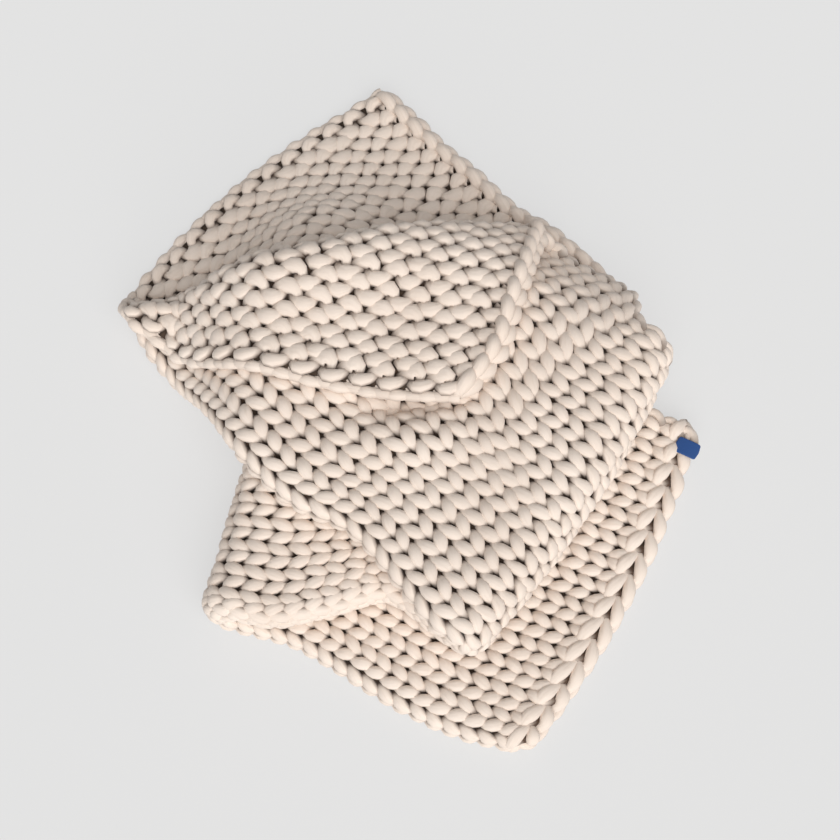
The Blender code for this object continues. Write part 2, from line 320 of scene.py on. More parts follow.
    def swell(self, plan: Array, side: int) -> Array:
        """Find how far one half of the top panel rises or sinks.

        Args:
            plan: points, seen from above.
            side: -1 for the lower half and +1 for the upper half.

        Returns:
            The rise at each point.
        """
        rise = np.zeros(plan.shape[:-1])
        for one in (swell for swell in SWELLS if swell.side == side):
            turn = radians(one.heading)
            offset = plan - one.middle
            along = offset @ (cos(turn), sin(turn)) / one.half_length
            aside = offset @ (-sin(turn), cos(turn)) / one.half_width
            rise += one.height * np.exp(-along ** 2 - aside ** 2)
        return rise

    def half_sheet(self, rows: Array, side: int) -> tuple[Array, ...]:
        """Lay out one half of the cloth.

        Args:
            rows: the fine sections.
            side: -1 for the lower half and +1 for the upper half.

        Returns:
            The middle of the band, its normals and the half's own surface.
        """
        column, bow_column = (UNDER, UNDER_BOW) if side < 0 else (UPPER, UPPER_BOW)
        spine, edge = rows[:, SPINE], rows[:, column]
        across = np.linspace(0, 1, self.half_cells + 1)
        plan = spine[:, None] * (1 - across)[None, :, None]
        plan = plan + edge[:, None] * across[None, :, None]
        heading = unit(edge - spine)
        back = np.column_stack((-heading[:, 1], heading[:, 0]))
        bow = rows[:, bow_column, None] * 4 * across * (1 - across)
        plan = plan + back[:, None] * bow[..., None]
        level = np.repeat(rows[:, LEVEL, None], len(across), axis=1)
        height = self.band_height(level, plan)
        if side < 0:
            apart = np.linalg.norm(rows[:, UNDER] - rows[:, UPPER], axis=1)
            free = np.clip(level - 1, 0, 1) * ease(apart / self.free_edge - 1)[:, None]
            height = height + self.side_curl * free * ease((across - self.curl_start)
                                                           / (1 - self.curl_start))
        height = height + self.swell(plan, side) * np.clip(level - 1, 0, 1)
        band = np.concatenate((plan, height[..., None]), axis=-1)
        for _ in range(self.smoothing):
            band[1:-1] = (band[:-2] + 2 * band[1:-1] + band[2:]) / 4
        normal = unit(np.cross(np.gradient(band, axis=1), np.gradient(band, axis=0)))
        normal = normal * np.sign(normal[0, self.half_cells // 2, 2])
        return band, normal, band + side * self.wrap_radius * normal

    def turn_corner_back(self, points: Array) -> Array:
        """Roll what lies beyond the crest back over the pile.

        Args:
            points: the surface before the corner is turned.

        Returns:
            The surface with its corner turned back.
        """
        start, end = np.array(self.crest_start), np.array(self.crest_end)
        length = np.linalg.norm(end - start)
        along = (end - start) / length
        beyond = np.array((-along[1], along[0]))
        offset = points[..., :2] - start
        run = offset @ along
        share = np.clip(run / length, 0, 1)
        bow = self.crest_bow * 4 * share * (1 - share)
        past = offset @ beyond - bow
        radius = (self.crest_radius_end
                  + (self.crest_radius_middle - self.crest_radius_end) * np.sin(pi * share))
        angle = np.clip(past / radius, 0, pi)
        lying = np.clip(past - pi * radius, 0, None)
        reach = radius * np.sin(angle) - lying + bow
        sunk = 2 * radius - (2 * radius - self.layer_pitch) * ease(lying / self.crest_settle)
        rise = np.where(lying > 0, sunk, radius * (1 - np.cos(angle)))
        plan = start + run[..., None] * along + reach[..., None] * beyond
        base, up = self.top_panel(plan)
        rolled = base + up * (self.wrap_radius + rise)[..., None]
        return np.where((past > 0)[..., None], rolled, points)

    def top_panel(self, plan: Array, reach: float = 0.004) -> tuple[Array, Array]:
        """Find the top panel's own middle.

        Args:
            plan: points, seen from above.
            reach: distance over which the slope is measured.

        Returns:
            Its points and its upward normals.
        """
        two = np.full(plan.shape[:-1], 2.0)
        slope_x, slope_y = (self.band_height(two, plan + step) - self.band_height(two, plan - step)
                            for step in ((reach, 0.0), (0.0, reach)))
        up = np.stack((-slope_x, -slope_y, np.full(two.shape, 2 * reach)), axis=-1)
        return np.concatenate((plan, self.band_height(two, plan)[..., None]), axis=-1), unit(up)

    def spread_rows(self, surface: Array, levels: Array) -> Array:
        """Share the rows out along every wale, by each panel's own row height.

        Args:
            surface: the points, by fine section and column.
            levels: the panel of each fine section.

        Returns:
            The points, by column and even step along the cloth.
        """
        pitch = np.interp(levels, (0, 1, 2), self.row_pitch)
        between = 2 / (pitch[1:] + pitch[:-1])
        even = np.linspace(0, 1, self.fine_rows)
        numbers = np.arange(self.fine_rows)
        laid = []
        for column in range(surface.shape[1]):
            line = surface[:, column]
            run = travelled(np.linalg.norm(np.diff(line, axis=0), axis=1) * between)
            laid.append(take(line, np.interp(even, run / run[-1], numbers)))
        return np.stack(laid)

    def spread_stitches(self, points: Array) -> Array:
        """Share the stitches out evenly from edge to spine to edge, along every row.

        Args:
            points: the points, by column and step along the cloth.

        Returns:
            The points, with the columns at an even pitch in each half.
        """
        spine = len(points) // 2
        steps = np.linalg.norm(np.diff(points, axis=0), axis=-1)
        laid = np.empty_like(points)
        for row in range(points.shape[1]):
            for start, stop, share in ((0, spine, self.evenness[0]),
                                       (spine, len(points) - 1, self.evenness[1])):
                run = travelled(steps[start:stop, row])
                numbers = np.arange(stop - start + 1)
                even = np.interp(np.linspace(0, run[-1], len(numbers)), run, numbers)
                places = start + even * share + numbers * (1 - share)
                laid[start:stop + 1, row] = take(points[:, row], places)
        return laid

    def __post_init__(self) -> None:
        """Work out the cloth's middle surface once, on an even grid of rows."""
        rows = self.fine_sections()
        under_band, under_normal, under = self.half_sheet(rows, -1)
        upper_band, upper_normal, upper = self.half_sheet(rows, +1)
        spine = (under_band[:, 0] + upper_band[:, 0]) / 2
        normal = unit(under_normal[:, 0] + upper_normal[:, 0])
        inward = unit(np.gradient(under_band, axis=1)[:, 0]
                      + np.gradient(upper_band, axis=1)[:, 0])
        angles = np.linspace(-pi / 2, pi / 2, self.wrap_cells + 1)[1:-1]
        wrap = np.stack([spine + self.wrap_radius * (sin(a) * normal - cos(a) * inward)
                         for a in angles], axis=1)
        surface = np.concatenate((under[:, ::-1], wrap, upper), axis=1)
        share = ease(np.concatenate((np.zeros(self.half_cells + 1), (angles + pi / 2) / pi,
                                     np.ones(self.half_cells + 1))))
        share = (share[None, :] * (rows[:, LEVEL] > self.top_level)[:, None])[..., None]
        surface = surface * (1 - share) + self.turn_corner_back(surface) * share

        self.points = self.spread_stitches(self.spread_rows(surface, rows[:, LEVEL]))
        self.columns = np.linspace(0, self.width, len(self.points))
        self.points[..., 0] += self.shift.x
        self.points[..., 1] += self.shift.y
        normals = unit(np.cross(np.gradient(self.points, axis=0),
                                np.gradient(self.points, axis=1)))
        middle = self.fine_rows // 3
        self.normals = normals * np.sign(normals[-1 - self.half_cells // 2, middle, 2])

    def place(self, stitch: Array, row: Array) -> tuple[Array, Array]:
        """Find points of the middle surface.

        Args:
            stitch: how many stitches across, from the lower half's side edge.
            row: how many rows along, from the starting edge.

        Returns:
            The points, and the normals on the knit face.
        """
        across = stitch * self.width / self.stitches
        along = self.end_inset + row * (self.length - 2 * self.end_inset) / self.rows
        column = np.interp(across, self.columns, np.arange(len(self.columns)))
        step = np.clip(along / self.length, 0, 1) * (self.fine_rows - 1)
        c0 = np.clip(column.astype(int), 0, len(self.columns) - 2)
        s0 = np.clip(step.astype(int), 0, self.fine_rows - 2)
        fc, fs = (column - c0)[..., None], (step - s0)[..., None]
        found = []
        for grid in (self.points, self.normals):
            near = grid[c0, s0] * (1 - fc) + grid[c0 + 1, s0] * fc
            far = grid[c0, s0 + 1] * (1 - fc) + grid[c0 + 1, s0 + 1] * fc
            found.append(near * (1 - fs) + far * fs)
        spare = (along - np.clip(along, 0, self.length))[..., None]
        ahead = unit(self.points[c0, s0 + 1] - self.points[c0, s0])
        return found[0] + ahead * spare, unit(found[1])

    def fullness(self, stitch: Array, row: Array) -> Array:
        """Find how full the yarn lies, by how wide the stitches are pulled.

        Args:
            stitch: how many stitches across.
            row: how many rows along.

        Returns:
            The share of the yarn's usual thickness.
        """
        wide = self.place(stitch + 0.5, row)[0] - self.place(stitch - 0.5, row)[0]
        high = self.place(stitch, row + 0.5)[0] - self.place(stitch, row - 0.5)[0]
        area = np.linalg.norm(wide, axis=-1) * np.linalg.norm(high, axis=-1)
        usual = self.width * self.length / (self.stitches * self.rows)
        return np.sqrt(np.clip(area / usual, *self.plumpness))


# --------------------------------------------------------------------- meshes
YARN_SQUARENESS = 0.80               # 1 for an oval section, less for a squarer one


class YarnMesh(NamedTuple):
    """Points and faces of yarn, with what its finish needs at each point."""

    points: Array
    faces: Array
    around: Array                    # two ways round the yarn and one along it
    # depth sets how much painted shade the yarn's finish lays on each point, darkest at 0
    depth: Array                     # 0 deep between the stitches, 1 on the outside


def ring_faces(rings: int, sides: int, closed: bool = False) -> Array:
    """Join rings of points into a tube.

    Args:
        rings: how many rings there are.
        sides: how many points each ring has.
        closed: whether the last ring joins the first one.

    Returns:
        The tube's faces, four point numbers each.
    """
    ring = np.arange(rings if closed else rings - 1)[:, None]
    after = (ring + 1) % rings
    side = np.arange(sides)[None]
    turn = (side + 1) % sides
    return np.stack((ring * sides + side, after * sides + side,
                     after * sides + turn, ring * sides + turn), -1).reshape(-1, 4)


def closed_faces(rings: int, sides: int) -> Array:
    """Join rings of points into a flat tube and close its two ends.

    Args:
        rings: how many rings there are.
        sides: how many points each ring has; the two halves of a ring face each other.

    Returns:
        The faces, four point numbers each.
    """
    k = np.arange(1, sides // 2)
    end = np.stack((k, k - 1, sides - k, sides - k - 1), -1)
    return np.concatenate((ring_faces(rings, sides)[:, (0, 3, 2, 1)], end,
                           end[:, ::-1] + (rings - 1) * sides))


def yarn_tube(line: Array, normals: Array, half_width: Array, half_height: Array,
              sides: int, closed: bool = False) -> YarnMesh:
    """Lay a soft, slightly squared tube along a line.

    Args:
        line: points on the middle of the yarn.
        normals: the cloth's normal at each point.
        half_width: half the yarn's width in the plane of the cloth.
        half_height: half its height above the cloth.
        sides: how many faces go round it.
        closed: whether the line is a ring.

    Returns:
        The yarn, as if all of it lay on the outside.
    """
    ahead = unit(np.roll(line, -1, axis=0) - np.roll(line, 1, axis=0) if closed
                 else np.gradient(line, axis=0))
    beside = unit(np.cross(normals, ahead))
    above = np.cross(ahead, beside)
    angles = np.arange(sides) * 2 * pi / sides
    wide, high = (np.sign(v) * np.abs(v) ** YARN_SQUARENESS
                  for v in (np.cos(angles), np.sin(angles)))
    points = (line[:, None]
              + beside[:, None] * (half_width[:, None] * wide)[..., None]
              + above[:, None] * (half_height[:, None] * high)[..., None])
    run = travelled(np.linalg.norm(np.diff(line, axis=0), axis=1))
    around = np.stack(np.broadcast_arrays(np.cos(angles), np.sin(angles), run[:, None]), -1)
    return YarnMesh(points.reshape(-1, 3), ring_faces(len(line), sides, closed),
                    around.reshape(-1, 3), np.ones(len(line) * sides))


def join(parts: Sequence[YarnMesh]) -> YarnMesh:
    """Join several lengths of yarn.

    Args:
        parts: the lengths.

    Returns:
        All of them as one mesh.
    """
    bases = np.cumsum([0] + [len(part.points) for part in parts[:-1]])
    moved = [part._replace(faces=part.faces + base) for part, base in zip(parts, bases)]
    return YarnMesh(*(np.concatenate(values) for values in zip(*moved)))


def rest_on_floor(points: Array, softness: float = 0.005) -> Array:
    """Press points flat where they would sink into the floor.

    Args:
        points: the points.
        softness: the height over which they give way.

    Returns:
        The points, none below the floor.
    """
    settled = points.copy()
    height = points[..., 2]
    settled[..., 2] = (height + np.sqrt(height * height + softness * softness)) / 2
    return settled


def make_piece(name: str, points: Array, faces: Array, material: Material) -> Object:
    """Make a smooth four-sided mesh that rides on the blanket's body.

    Args:
        name: the piece's name.
        points: its points.
        faces: its faces, four point numbers each.
        material: its finish.

    Returns:
        The new object.
    """
    mesh = bpy.data.meshes.new(name)
    mesh.vertices.add(len(points))
    mesh.vertices.foreach_set("co", points.astype(np.float32).ravel())
    mesh.loops.add(faces.size)
    mesh.loops.foreach_set("vertex_index", faces.astype(np.int32).ravel())
    mesh.polygons.add(len(faces))
    mesh.polygons.foreach_set("loop_start", np.arange(0, faces.size, 4, dtype=np.int32))
    mesh.update(calc_edges=True)
    mesh.validate()
    mesh.polygons.foreach_set("use_smooth", np.ones(len(mesh.polygons), bool))
    mesh.materials.append(material)
    piece = bpy.data.objects.new(name, mesh)
    bpy.context.scene.collection.objects.link(piece)
    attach(piece, BODY)
    return piece


def make_yarn(name: str, yarn: YarnMesh, material: Material) -> Object:
    """Make a piece of yarn and keep what its finish reads at each point.

    Args:
        name: the piece's name.
        yarn: its mesh.
        material: its finish.

    Returns:
        The new object.
    """
    piece = make_piece(name, rest_on_floor(yarn.points), yarn.faces, material)
    way = piece.data.attributes.new("yarn_way", "FLOAT_VECTOR", "POINT")
    way.data.foreach_set("vector", yarn.around.astype(np.float32).ravel())
    # painted shade: how deep each point lies, which darkens its colour
    depth = piece.data.attributes.new("painted_hollow_shade", "FLOAT", "POINT")
    depth.data.foreach_set("value", yarn.depth.astype(np.float32))
    return piece


# ------------------------------------------------------------------- finishes
Inputs = dict[str | int, object]
WHITE: Colour = (1.0, 1.0, 1.0)


class Nodes:
    """A short way to wire up one material."""

    def __init__(self, name: str) -> None:
        """Start a material, with its shader.

        Args:
            name: the material's name.
        """
        self.material = bpy.data.materials.new(name)
        self.material.use_nodes = True
        self.tree = self.material.node_tree
        self.shader = self.tree.nodes["Principled BSDF"]

    def add(self, kind: str, inputs: Inputs, **settings: object) -> Node:
        """Add a node.

        Args:
            kind: what kind of node it is.
            inputs: a number to set or a socket to link, for each input that needs one.
            settings: the node's own properties.

        Returns:
            The new node.
        """
        node = self.tree.nodes.new(kind)
        for key, value in settings.items():
            setattr(node, key, value)
        self.feed(node, inputs)
        return node

    def feed(self, node: Node, inputs: Inputs) -> None:
        """Set or link the inputs of a node.

        Args:
            node: the node.
            inputs: a number to set or a socket to link, for each input that needs one.
        """
        for key, value in inputs.items():
            if isinstance(value, NodeSocket):
                self.tree.links.new(value, node.inputs[key])
            else:
                node.inputs[key].default_value = value

    def finish(self, inputs: Inputs) -> Material:
        """Feed the shader and return the finished material."""
        self.feed(self.shader, inputs)
        return self.material

    def place(self) -> NodeSocket:
        """Return the socket with a point's place on the object."""
        return self.add("ShaderNodeTexCoord", {}).outputs["Object"]

    def kept(self, name: str, output: str) -> NodeSocket:
        """Return the socket with a value that is kept on the mesh."""
        return self.add("ShaderNodeAttribute", {}, attribute_name=name).outputs[output]

    def noise(self, vector: NodeSocket, scale: float, detail: float,
              rough: float = 0.5) -> NodeSocket:
        """Add soft noise over a vector.

        Args:
            vector: where the noise is read.
            scale: how fine it is.
            detail: how many octaves it has.
            rough: how strong the fine ones are.

        Returns:
            The socket with its value.
        """
        return self.add("ShaderNodeTexNoise", {
            "Vector": vector, "Scale": scale, "Detail": detail,
            "Roughness": rough}).outputs["Fac"]

    def ramp(self, value: NodeSocket, *stops: tuple[float, Colour]) -> NodeSocket:
        """Turn a value into a colour.

        Args:
            value: the socket that is read.
            stops: the two places on the ramp, each with its colour.

        Returns:
            The socket with the colour.
        """
        node = self.add("ShaderNodeValToRGB", {"Fac": value})
        for element, (place, colour) in zip(node.color_ramp.elements, stops):
            element.position = place
            element.color = (*colour, 1.0)
        return node.outputs["Color"]

    def shade(self, base: NodeSocket, tint: NodeSocket, share: float) -> NodeSocket:
        """Multiply a colour by another one.

        Args:
            base: the colour that is shaded.
            tint: the colour that shades it.
            share: how much of the shading is kept.

        Returns:
            The socket with the shaded colour.
        """
        return self.add("ShaderNodeMix", {"Factor": share, "A": base, "B": tint},
                        data_type="RGBA", blend_type="MULTIPLY").outputs["Result"]

    def bump(self, height: NodeSocket, strength: float, distance: float,
             **under: NodeSocket) -> NodeSocket:
        """Raise a surface by a height.

        Args:
            height: the socket with the height.
            strength: how strong the relief is.
            distance: how high it stands, in metres.
            under: as Normal, the relief that it stands on.

        Returns:
            The socket with the new normal.
        """
        return self.add("ShaderNodeBump", {
            "Height": height, "Strength": strength, "Distance": distance,
            **under}).outputs["Normal"]


@dataclass(frozen=True)
class YarnFinish:
    """Matt cotton jersey, sewn into a tube and stuffed."""

    name: str = "cotton_yarn"
    lit: Colour = (0.828, 0.718, 0.632)
    worn: Colour = (0.765, 0.651, 0.565)
    # painted shade, laid deep between the stitches
    hollow: Colour = (0.090, 0.055, 0.036)
    # painted shade, darkening the yarn in its creases
    crease_shade: Colour = (0.86, 0.83, 0.80)
    creases: float = 18.0            # how close they lie along the yarn
    crease_depth: float = 0.0016
    fibres: float = 620.0            # for each metre, as are the patches
    fibre_depth: float = 0.0004
    patches: float = 9.0
    roughness: float = 0.92
    sheen: float = 0.12
    sheen_roughness: float = 0.6

    def build(self) -> Material:
        """Make the yarn's finish: fibres, creases, and painted shade in the creases and hollows.

        Returns:
            The finished material.
        """
        nodes = Nodes(self.name)
        place = nodes.place()
        stretched = nodes.add("ShaderNodeVectorMath", {
            0: nodes.kept("yarn_way", "Vector"), 1: (1.0, 1.0, self.creases)},
            operation="MULTIPLY").outputs["Vector"]
        crease = nodes.noise(stretched, scale=2.2, detail=4.0, rough=0.55)
        patch = nodes.noise(place, self.patches, detail=2.0)
        fibre = nodes.noise(place, self.fibres, detail=2.0, rough=0.6)
        base = nodes.ramp(patch, (0.25, self.worn), (0.62, self.lit))
        # painted shade in the creases, darker where the relief is lowest
        crease_shade = nodes.ramp(crease, (0.18, self.crease_shade), (0.50, WHITE))
        # painted shade, darker where a point lies deep between the stitches
        hollow = nodes.ramp(nodes.kept("painted_hollow_shade", "Fac"), (0.20, self.hollow), (0.70, WHITE))
        relief = nodes.bump(crease, 0.55, self.crease_depth)
        return nodes.finish({
            "Base Color": nodes.shade(nodes.shade(base, crease_shade, 0.7), hollow, 1.0),
            "Normal": nodes.bump(fibre, 0.25, self.fibre_depth, Normal=relief),
            "Roughness": self.roughness, "Sheen Weight": self.sheen,
            "Sheen Roughness": self.sheen_roughness})


@dataclass(frozen=True)
class HoleShadeFinish:
    """Painted shade: the dark colour at the bottom of the holes between the stitches."""

    name: str = "shaded_yarn"
    # painted shade: the two dark colours of the hole bottoms, varied by grain
    dark: Colour = (0.030, 0.018, 0.011)
    light: Colour = (0.075, 0.048, 0.032)
    grains: float = 140.0            # for each metre
    grain_depth: float = 0.001
    roughness: float = 0.95

    def build(self) -> Material:
        """Make the finish of painted shade, as dark as yarn in deep shade.

        Returns:
            The finished material.
        """
        nodes = Nodes(self.name)
        grain = nodes.noise(nodes.place(), self.grains, detail=3.0)
        return nodes.finish({
            "Base Color": nodes.ramp(grain, (0.3, self.dark), (0.7, self.light)),
            "Normal": nodes.bump(grain, 0.4, self.grain_depth), "Roughness": self.roughness})


@dataclass(frozen=True)
class RibbonFinish:
    """Blue woven ribbon, left blank."""

    name: str = "woven_label"
    dark: Colour = (0.006, 0.040, 0.180)
    light: Colour = (0.012, 0.085, 0.300)
    ribs: float = 420.0              # how close the ribs lie
    rib_depth: float = 0.0002
    roughness: float = 0.62
    sheen: float = 0.2

    def build(self) -> Material:
        """Make the ribbon's finish, with its close cross ribs.

        Returns:
            The finished material.
        """
        nodes = Nodes(self.name)
        ribs = nodes.add("ShaderNodeTexWave", {
            "Vector": nodes.place(), "Scale": self.ribs, "Distortion": 0.6},
            wave_type="BANDS", bands_direction="DIAGONAL").outputs["Fac"]
        return nodes.finish({
            "Base Color": nodes.ramp(ribs, (0.0, self.dark), (0.8, self.light)),
            "Normal": nodes.bump(ribs, 0.5, self.rib_depth),
            "Roughness": self.roughness, "Sheen Weight": self.sheen})


@dataclass(frozen=True)
class FloorFinish:
    """A plain pale floor, lit softly from below."""

    name: str = "pale_floor"
    colour: Colour = (0.24, 0.24, 0.24)
    shaded: Colour = (0.2364, 0.2364, 0.2364)
    glow: float = 0.535
    patches: float = 1.5             # for each metre
    roughness: float = 0.9

    def build(self) -> Material:
        """Make the floor's finish, with the faintest unevenness.

        Returns:
            The finished material.
        """
        nodes = Nodes(self.name)
        patch = nodes.noise(nodes.place(), self.patches, detail=2.0)
        return nodes.finish({
            "Base Color": nodes.ramp(patch, (0.3, self.shaded), (0.7, self.colour)),
            "Roughness": self.roughness, "Emission Color": (*WHITE, 1.0),
            "Emission Strength": self.glow})


# ------------------------------------------------------------------- the parts
class Unevenness(NamedTuple):
    """How uneven a row is, by the usual size of each random drift."""

    swing: float = 0.070             # as a share
    reach: float = 0.035             # as a share
    across: float = 0.022            # stitches
    along: float = 0.030             # rows
    depth: float = 0.0005
    plump: float = 0.035             # as a share
    rim: float = 0.020               # rows


@dataclass
class Courses:
    """The rows of stitches, one length of yarn for each row."""

    cloth: FoldedCloth
    bands: int = 5
    count: int = 61
    first_row: float = 1.06          # middle of the first row, in rows from the edge
    last_row: float = 60.55
    run_on: float = 0.925            # stitches from the outermost heads to the yarn's ends
    loop_swing: float = 0.222        # stitches that a loop swings past its own legs
    loop_reach: float = 0.790        # rows from a stitch's middle to its head
    head_arch: float = 0.050         # rows that a head stands out in its middle
    loop_depth: float = 0.0066       # from the cloth's middle to the head
    head_lift: float = 0.0004        # how much further the head stands back
    lean: float = 0.55               # turn of the heads on the purl face, radians
    half_width: float = 0.0062       # where the yarn crosses itself
    leg_width: float = 0.0034        # how much fuller the legs are
    head_width: float = 0.0050       # how much fuller the heads are
    half_height: float = 0.0062
    lobe_height: float = 0.0018
    steps: int = 20                  # mesh steps for each stitch
    sides: int = 10
    block_width: float = 0.0022      # how much fuller the starting row's heads are
    foot_reach: float = 0.30         # share of a loop's reach to the starting row's feet
    foot_rise: float = 0.40          # share of the loops' depth that these feet arch
    foot_light: float = 0.66         # the least light that reaches them
    foot_width: float = 0.0026       # how much fuller the feet just inside them are
    outer_reach: float = 1.12        # how much further out those reach
    rim_end: float = 0.40            # stitches from the side edges to the rim's ends
    rim_row: float = -0.22           # where the rim strand lies
    rim_wave: float = 0.03           # how far it swings in and out, in rows
    rim_depth: float = -0.0036       # from the cloth's middle, away from the purl face
    rim_bob: float = 0.50            # share of that depth that it bobs up and down
    rim_pinch: float = 0.20          # share of its width that it thins under the heads
    rim_light: float = 0.70
    uneven: Unevenness = Unevenness()
    seed: int = 7

    def wander(self, rng: np.random.Generator, turns: Array, size: float) -> Array:
        """Let something drift along a row, with one new value for each half loop.

        Args:
            rng: the source of the drift.
            turns: how far along the row each point is, 2 pi for each stitch.
            size: the usual size of the drift.

        Returns:
            The drift at each point.
        """
        knots = np.arange(-1, 2 * self.cloth.stitches + 2)
        return np.interp(turns / pi, knots, rng.normal(0.0, size, len(knots)))

    def row(self, number: int, rng: np.random.Generator) -> YarnMesh:
        """Knit one row.

        Args:
            number: the row's number, from the starting edge; -1 is the starting row.
            rng: the source of its unevenness.

        Returns:
            The row's yarn.
        """
        uneven = self.uneven
        start, stop = 1 - self.run_on, self.cloth.stitches - 2 + self.run_on
        turns = 2 * pi * np.linspace(start, stop, round(self.steps * (stop - start)) + 1)
        heads, lobes = (1 + np.cos(2 * turns)) / 2, (1 + np.cos(4 * turns)) / 2
        feet = np.cos(turns) < 0
        edge_feet, outer_feet = feet & (number < 0), feet & (number == 0)

        swing = self.loop_swing * (1 + self.wander(rng, turns, uneven.swing))
        reach = self.loop_reach * (1 + self.wander(rng, turns, uneven.reach))
        stitch = (turns / (2 * pi) + 0.5 + swing * np.sin(2 * turns)
                  + self.wander(rng, turns, uneven.across))
        along = reach * np.cos(turns) + self.head_arch * heads * np.cos(3 * turns)
        along[edge_feet] *= self.foot_reach
        along[outer_feet] *= self.outer_reach
        middle = self.first_row + number * (self.last_row - self.first_row) / (self.count - 1)
        row = middle + along + self.wander(rng, turns, uneven.along)
        back = (self.loop_depth * np.cos(2 * turns - self.lean * heads)
                + self.head_lift * np.cos(turns) + self.wander(rng, turns, uneven.depth))
        back = np.where(edge_feet, self.loop_depth * (self.foot_rise * heads - 1), back)
        surface, normals = self.cloth.place(stitch, row)
        line = surface - normals * back[:, None]

        plump = self.cloth.fullness(stitch, row) * (1 + self.wander(rng, turns, uneven.plump))
        fuller = self.leg_width + (self.head_width - self.leg_width) * heads
        if number < 0:
            fuller += self.block_width * heads
        fuller[edge_feet] = 0.0
        fuller[outer_feet] = self.foot_width
        half_height = (self.half_height + self.lobe_height * lobes) * plump
        yarn = yarn_tube(line, normals, (self.half_width + fuller * lobes) * plump,
                         half_height, self.sides)
        rings = yarn.points.reshape(len(line), self.sides, 3)
        # painted shade: points near the cloth's middle, deep between the stitches, get darker
        offset = np.einsum("ijk,ik->ij", rings - surface[:, None], normals)
        depth = np.clip(np.abs(offset) / (self.loop_depth + half_height[:, None]), 0, 1)
        depth[edge_feet] = np.maximum(depth[edge_feet], self.foot_light)
        return yarn._replace(depth=depth.ravel())

    def rim(self, rng: np.random.Generator) -> YarnMesh:
        """Lay the strand that runs along the starting edge, under the row's feet.

        Args:
            rng: the source of its unevenness.

        Returns:
            The strand.
        """
        last = self.cloth.stitches
        stitch = np.linspace(self.rim_end, last - self.rim_end, self.steps * last // 2)
        turns = 2 * pi * stitch
        row = (self.rim_row + self.rim_wave * np.cos(turns)
               + self.wander(rng, turns, self.uneven.rim))
        surface, normals = self.cloth.place(stitch, row)
        back = self.rim_depth * (1 + self.rim_bob * np.cos(turns))
        half = self.half_width * (1 - self.rim_pinch * np.cos(turns))
        yarn = yarn_tube(surface - normals * back[:, None], normals, half, half, self.sides)
        # painted shade on the rim strand, tucked under the row's feet
        return yarn._replace(depth=self.rim_light * yarn.depth)

    def starting_edge(self, material: Material) -> Object:
        """Make the starting row and its rim as one piece.

        Args:
            material: the yarn's finish.

        Returns:
            The piece.
        """
        rng = np.random.default_rng(self.seed + 1)
        yarn = join((self.row(-1, rng), self.rim(rng)))
        return make_yarn(Edge.STARTING.value, yarn, material)

    def build(self, material: Material) -> list[Object]:
        """Knit all rows, joined into a few bands.

        Args:
            material: the yarn's finish.

        Returns:
            The starting edge, and one piece for each band of rows.
        """
        rng = np.random.default_rng(self.seed)
        rows = [self.row(number, rng) for number in range(self.count)]
        marks = np.linspace(0, len(rows), self.bands + 1).astype(int)
        pieces = [self.starting_edge(material)]
        for band, (start, stop) in enumerate(zip(marks, marks[1:]), 1):
            pieces.append(make_yarn(f"knitted_rows_{band}", join(rows[start:stop]), material))
        return pieces


